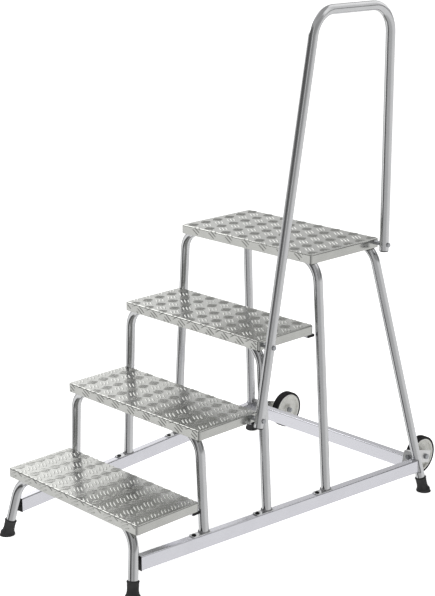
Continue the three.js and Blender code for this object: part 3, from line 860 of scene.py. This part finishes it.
def build_foot_screws():
    """Black button-head screws with a hexagon socket."""
    radius, head, shank = FOOT_SCREW["head_radius"], FOOT_SCREW["head"], FOOT_SCREW["shank"]
    edge = 0.3
    centre = ON_AXIS / MM
    angles = [math.radians(8 * k) for k in range(9)]
    dome = [(radius * math.cos(t), 2 * edge + (head - 2 * edge) * math.sin(t)) for t in angles]
    socket = [(2.3, head - 0.25), (2.1, head - 2.4), (centre, head - 2.6)]
    for number in (2, 3, 4):
        for label in SIDES:
            name = f"foot_screw_{number}_{label}"
            low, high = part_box(name)
            middle = middle_of(name)
            seat = Vector((middle.x, middle.y, high.z - head * MM))
            tip = (low.z - seat.z) / MM
            point = [(centre, tip), (shank - 0.6, tip), (shank, tip + 1), (shank, 0)]
            rim = [(radius - edge, 0), (radius, edge)]
            bm = bmesh.new()
            revolve(bm, in_mm(point + rim + dome + socket), Matrix.Translation(seat), 32)
            add_object(name + "_detail", from_bmesh(name, bm), PLASTIC, "frame", [name])


build_handrail_fasteners()
build_bracket_bolts()
build_foot_screws()


# ---------------------------------------------------------------- handrail

def handrail_stations():
    """The handrail's axis: up the leaning front leg, along the top, and down the rear leg. Both legs are
    measured on their straight stretches."""
    low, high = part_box("handrail")
    middle = middle_of("handrail")
    top = high.z - TUBE_RADIUS

    def in_front(point):
        return point.y < middle.y

    def behind(point):
        return not in_front(point)

    lower = crossing("handrail", 2, low.z + 60 * MM, in_front)
    upper = crossing("handrail", 2, top - 150 * MM, in_front)
    slope = (upper - lower) / (upper.z - lower.z)
    rear = crossing("handrail", 2, top - 300 * MM, behind)
    rear_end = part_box("handrail_plug_rear")[0].z + PLUG_CAP
    lean = math.atan(slope.y)
    start_z = low.z + TUBE_RADIUS * math.sin(lean)
    corners = [lower + slope * (start_z - lower.z), lower + slope * (top - lower.z),
               Vector((middle.x, rear.y, top)), Vector((middle.x, rear.y, rear_end))]
    for corner in corners:
        corner.x = middle.x
    return rounded_path(corners, BEND_RADIUS["handrail"] * MM, 24)


def build_handrail():
    stations = handrail_stations()
    bm = bmesh.new()
    add_pipe(bm, stations, Vector((1, 0, 0)))
    add_object("handrail_tube", from_bmesh("handrail_tube", bm), TUBE, replaces=["handrail"])
    build_plug("handrail_plug_front", stations[0], -1)
    build_plug("handrail_plug_rear", stations[-1], 1)


def build_plug(name, station, sign):
    """A plug in an end of the handrail: a stub inside the tube and a rounded cap over its rim."""
    end, tangent = station
    outer, stub_tip, stub_root = TUBE_RADIUS - 0.3 * MM, TUBE_RADIUS - 3.6 * MM, TUBE_RADIUS - 3.4 * MM
    gap, edge, top, depth = 0.6 * MM, 1.6 * MM, 4.2 * MM, 12 * MM
    rounding = 2.8 * MM
    quarter = [math.radians(15 * k) for k in range(1, 7)]
    profile = [(ON_AXIS, -depth), (stub_tip, -depth), (stub_root, gap), (outer, gap), (outer, edge)]
    profile += [(outer - rounding * (1 - math.cos(t)), edge + (top - edge) * math.sin(t)) for t in quarter]
    profile.append((ON_AXIS, top))
    bm = bmesh.new()
    revolve(bm, profile, facing(end, tangent * sign), 40)
    add_object(name + "_cap", from_bmesh(name, bm), PLASTIC, "frame", [name])


build_handrail()


# ---------------------------------------------------------------- rubber feet

def build_foot(node, arch, side):
    """A ferrule round a slanted leg: lipped mouth, waist and flared sole, flat on the floor."""
    low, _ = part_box(node)
    leg_low = leg_at(arch, low.z, side)
    axis = (leg_at(arch, 100 * MM, side) - leg_low).normalized()
    centre = ON_AXIS / MM
    bore = TUBE_RADIUS / MM + 0.25
    mouth, leg_end = 58, 10
    quarter = [math.radians(15 * k) for k in range(1, 6)]
    bead = [math.radians(30 * k) for k in range(5)]
    sole = [(centre, -16), (25.4, -16), (26, -2), (26, 5)]
    sole += [(23.4 + 2.6 * math.cos(t), 6.5 + 4.5 * math.sin(t)) for t in quarter]
    waist = [(22.6, 13.5), (21.4, 16.5), (20.4, 20.5), (19.7, 26), (19.5, 33), (19.8, 44), (20.1, 52)]
    lip = [(20.5 + 0.9 * math.sin(t), 54.6 - 1.6 * math.cos(t)) for t in bead]
    lip += [(20.2, mouth - 0.4), (19.4, mouth), (bore + 0.5, mouth - 0.2), (bore, mouth - 1.4)]
    inside = [(bore, leg_end), (centre, leg_end)]
    bm = bmesh.new()
    revolve(bm, in_mm(sole + waist + lip + inside), facing(leg_low, axis), 64)
    for vertex in bm.verts:
        vertex.co.z = max(vertex.co.z, low.z)
    bmesh.ops.remove_doubles(bm, verts=bm.verts, dist=0.01 * MM)
    mesh = from_bmesh(node + "_rubber", bm)
    add_object(node + "_rubber", mesh, RUBBER, "frame", [node], 40)


for side_label, side_sign in SIDES.items():
    build_foot(f"foot_front_{side_label}", "arch_1", side_sign)
    build_foot(f"foot_rear_{side_label}", "arch_5", side_sign)


# ---------------------------------------------------------------- wheels

def wheel_matrix(label, side):
    """Wheel coordinates: Z points outboard along the axle, from the wheel's centre."""
    return facing(middle_of(f"wheel_tyre_{label}"), Vector((side, 0, 0)))


def build_tyre(label, side):
    """A tyre with rounded shoulders and grooves round its tread."""
    name = f"wheel_tyre_{label}"
    low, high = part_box(name)
    half, radius = (high.x - low.x) / 2, (high.z - low.z) / 2
    shoulder = 3.2 * MM
    grooves, groove_depth = 5, 0.9 * MM
    quarter = [math.radians(15 * k) for k in range(7)]
    profile = [(TYRE_BORE, -half)]
    profile += [(radius - shoulder + shoulder * math.sin(t), -half + shoulder - shoulder * math.cos(t))
                for t in quarter]
    flat = 2 * (half - shoulder)
    for k in range(1, grooves + 1):
        z = -half + shoulder + flat * k / (grooves + 1)
        for across, depth in ((-1.1, 0), (-0.6, groove_depth), (0.6, groove_depth), (1.1, 0)):
            profile.append((radius - depth, z + across * MM))
    profile += [(radius - shoulder + shoulder * math.cos(t), half - shoulder + shoulder * math.sin(t))
                for t in quarter]
    profile.append((TYRE_BORE, half))
    bm = bmesh.new()
    revolve(bm, profile, wheel_matrix(label, side), 120, wrap=True)
    add_object(name + "_rubber", from_bmesh("tyre", bm), TYRE, f"wheel_{label}", [name])


def build_hub(label, side):
    """A hub with a boss, a thin web and a rim; its two faces are alike."""
    name = f"wheel_hub_{label}"
    low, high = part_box(f"wheel_tyre_{label}")
    half = (high.x - low.x) / 2 / MM
    face = half - 1
    outer = TYRE_BORE / MM - 0.3
    boss = [(10.4, half), (16.4, half), (17, half - 0.6), (19, 6)]
    web = [(21, 3.6), (24, 3), (53, 3), (56, 4.4)]
    rim = [(57.4, face - 1.2), (58.6, face), (outer - 0.8, face), (outer, face - 0.8)]
    outboard = boss + web + rim
    inboard = [(radius, -height) for radius, height in outboard]
    bm = bmesh.new()
    revolve(bm, in_mm(inboard + outboard[::-1]), wheel_matrix(label, side), 96, wrap=True)
    add_object(name + "_moulding", from_bmesh("hub", bm), HUB, f"wheel_{label}", [name])


def build_axle(label, side):
    """The axle bolt and its nut, which stay with the bracket."""
    bolt, nut = f"axle_bolt_{label}", f"axle_nut_{label}"
    outward = Vector((side, 0, 0))
    head = AXLE_BOLT["head"] * MM
    low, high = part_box(bolt)
    middle = middle_of(bolt)
    tip = high.x if side > 0 else low.x
    size = dict(AXLE_BOLT, length=(high.x - low.x - head) / MM)
    build_bolt(bolt, Vector((tip - side * head, middle.y, middle.z)), outward, size)
    nut_low, nut_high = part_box(nut)
    inner = nut_high.x if side > 0 else nut_low.x
    build_nut(nut, Vector((inner, middle.y, middle.z)), -outward, AXLE_NUT)


for side_label, side_sign in SIDES.items():
    build_tyre(side_label, side_sign)
    build_hub(side_label, side_sign)
    build_axle(side_label, side_sign)


# ---------------------------------------------------------------- CAD nodes that stay

SHARP = 50  # degrees between two faces from which their edge is broken


def finish_node(name, material, bevel):
    """Keeps a CAD node's shape, with a finished material and its sharp edges broken by bevel millimetres."""
    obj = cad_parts[name]
    obj.data.materials.clear()
    obj.data.materials.append(material)
    weld = obj.modifiers.new("merge", "WELD")
    weld.merge_threshold = 0.02 * MM
    edges = obj.modifiers.new("edges", "BEVEL")
    edges.width = bevel * MM
    edges.segments = 3
    edges.limit_method = "ANGLE"
    edges.angle_limit = math.radians(SHARP)
    edges.harden_normals = False
    smooth = obj.modifiers.new("shading", "WEIGHTED_NORMAL")
    smooth.keep_sharp = True


for side_label in SIDES:
    finish_node(f"wheel_bracket_{side_label}", BRACKET, 0.9)
    finish_node(f"wheel_bush_{side_label}", STEEL, 0.4)
    finish_node(f"rail_end_cap_{side_label}", PLASTIC, 0.6)
    for step in (1, 2, 3):
        finish_node(f"bar_plug_{step}_{side_label}", PLASTIC, 0.6)
for step in (1, 2, 3):
    finish_node(f"support_bar_{step}", RAIL, 0.8)
for bolt_place in HANDRAIL_PLACES:
    finish_node(f"handrail_spacer_{bolt_place}", STEEL, 0.5)


# ---------------------------------------------------------------- camera, floor and light

def build_camera():
    """The photo's camera: right of the front, above the platform, looking down at the treads."""
    look_down, roll, heading = 0.280, 0.002, 0.799
    data = bpy.data.cameras.new("camera")
    data.sensor_width = 36
    data.lens = 88.4
    data.clip_end = 100
    camera = bpy.data.objects.new("camera", data)
    camera.location = (3.5583, -3.4981, 2.2154)
    camera.rotation_euler = (math.pi / 2 - look_down, roll, heading)
    bpy.context.scene.collection.objects.link(camera)
    bpy.context.scene.camera = camera


def build_floor():
    """A wide white floor that is close to burnt out, so that shadows on it stay faint."""
    mesh = bpy.data.meshes.new("floor")
    reach = 60
    mesh.from_pydata([(-reach, -reach, 0), (reach, -reach, 0), (reach, reach, 0), (-reach, reach, 0)],
                     [], [(0, 1, 2, 3)])
    floor = bpy.data.objects.new("floor", mesh)
    floor.location.z = -0.5 * MM
    bpy.context.scene.collection.objects.link(floor)
    m = Surface("floor_white")
    m.link(m.ramp(m.noise(500 * MM, 3), [(0.3, 0.9), (0.7, 0.94)]), "Base Color")
    m.shader.inputs["Roughness"].default_value = 0.9
    m.shader.inputs["Emission Color"].default_value = (1, 1, 1, 1)
    m.shader.inputs["Emission Strength"].default_value = 0.78
    mesh.materials.append(m.material)
    floor.visible_glossy = False


def at(degrees):
    """An azimuth's place in a ramp, counted from +X towards +Y."""
    return degrees / 360 + 0.5


def level(degrees):
    """A height's place in a ramp, from straight down to straight up."""
    return math.sin(math.radians(degrees)) / 2 + 0.5


def build_world():
    """A studio as the metal sees it: a bright floor with a dark gap in front, a dark room round the horizon
    with bright stretches, a gray sky over it, and an even ceiling."""
    world = bpy.data.worlds.new("studio")
    bpy.context.scene.world = world
    world.use_nodes = True
    m = Nodes(world.node_tree)
    direction = m.node("ShaderNodeTexCoord").outputs["Generated"]
    parts = m.node("ShaderNodeSeparateXYZ", {"Vector": direction})
    turn = m.node("ShaderNodeMath", {0: parts.outputs["Y"], 1: parts.outputs["X"]}, operation="ARCTAN2")
    around = m.node("ShaderNodeMath", {0: turn.outputs[0], 1: 2 * math.pi}, operation="DIVIDE")
    azimuth = m.node("ShaderNodeMath", {0: around.outputs[0], 1: 0.5}, operation="ADD").outputs[0]
    halved = m.node("ShaderNodeMath", {0: parts.outputs["Z"], 1: 0.5, 2: 0.5}, operation="MULTIPLY_ADD")
    height = halved.outputs[0]

    def round_about(*stops):
        """A gray for every direction round the object, from (azimuth, gray) pairs."""
        return m.ramp(azimuth, [(at(degrees), gray) for degrees, gray in stops])

    def above(start, end):
        """How far a direction is over a height, fading in between start and end."""
        return m.ramp(height, [(level(start), 0), (level(end), 1)])

    floor = round_about((-165, 0.6), (-147, 0.95), (-125, 0.92), (-117, 0.05), (-99, 0.07), (-80, 0.5),
                        (-20, 0.55), (10, 0.8), (130, 0.85))
    room = round_about((-168, 0.7), (-158, 0.12), (-92, 0.12), (-66, 0.3), (-58, 0.95), (-50, 0.3),
                       (30, 0.4), (42, 0.1), (60, 0.1), (76, 0.5), (112, 0.5), (128, 0.5), (136, 0.78),
                       (150, 1.6))
    sky = round_about((-162, 0.7), (-153, 0.5), (38, 0.4), (50, 0.15), (70, 0.3), (100, 0.5), (137, 0.3),
                      (161, 0.3), (170, 0.7))
    ceiling = (0.4, 0.4, 0.4)
    surround = m.mix(above(-4, 5), floor, room)
    surround = m.mix(above(31, 40), surround, sky)
    surround = m.mix(above(56, 64), surround, ceiling)
    background = m.tree.nodes["Background"]
    m.tree.links.new(surround, background.inputs["Color"])
    background.inputs["Strength"].default_value = 1.0


def build_light(name, place, target, size, power, reflected):
    """A soft panel that is either seen in the metal only, or lights everything else."""
    data = bpy.data.lights.new(name, "AREA")
    data.shape = "RECTANGLE"
    data.size, data.size_y = size
    data.energy = power
    light = bpy.data.objects.new(name, data)
    light.location = place
    light.rotation_euler = (Vector(target) - Vector(place)).to_track_quat("-Z", "Y").to_euler()
    light.visible_glossy = reflected
    light.visible_diffuse = not reflected
    bpy.context.scene.collection.objects.link(light)


build_camera()
build_floor()
build_world()
build_light("overhead", place=(-1.5, -1.0, 4.5), target=(0, 0, 0.5),
            size=(3.0, 3.0), power=90, reflected=False)
build_light("handrail_panel", place=(0.9, 1.3, 2.8), target=(0.37, 0.1, 1.8),
            size=(2.6, 1.8), power=9, reflected=True)
build_light("tread_panel", place=(-2.3, -0.35, 2.65), target=(0, -0.35, 0.6),
            size=(2.7, 1.1), power=16, reflected=True)
bpy.context.scene.view_settings.view_transform = "Standard"
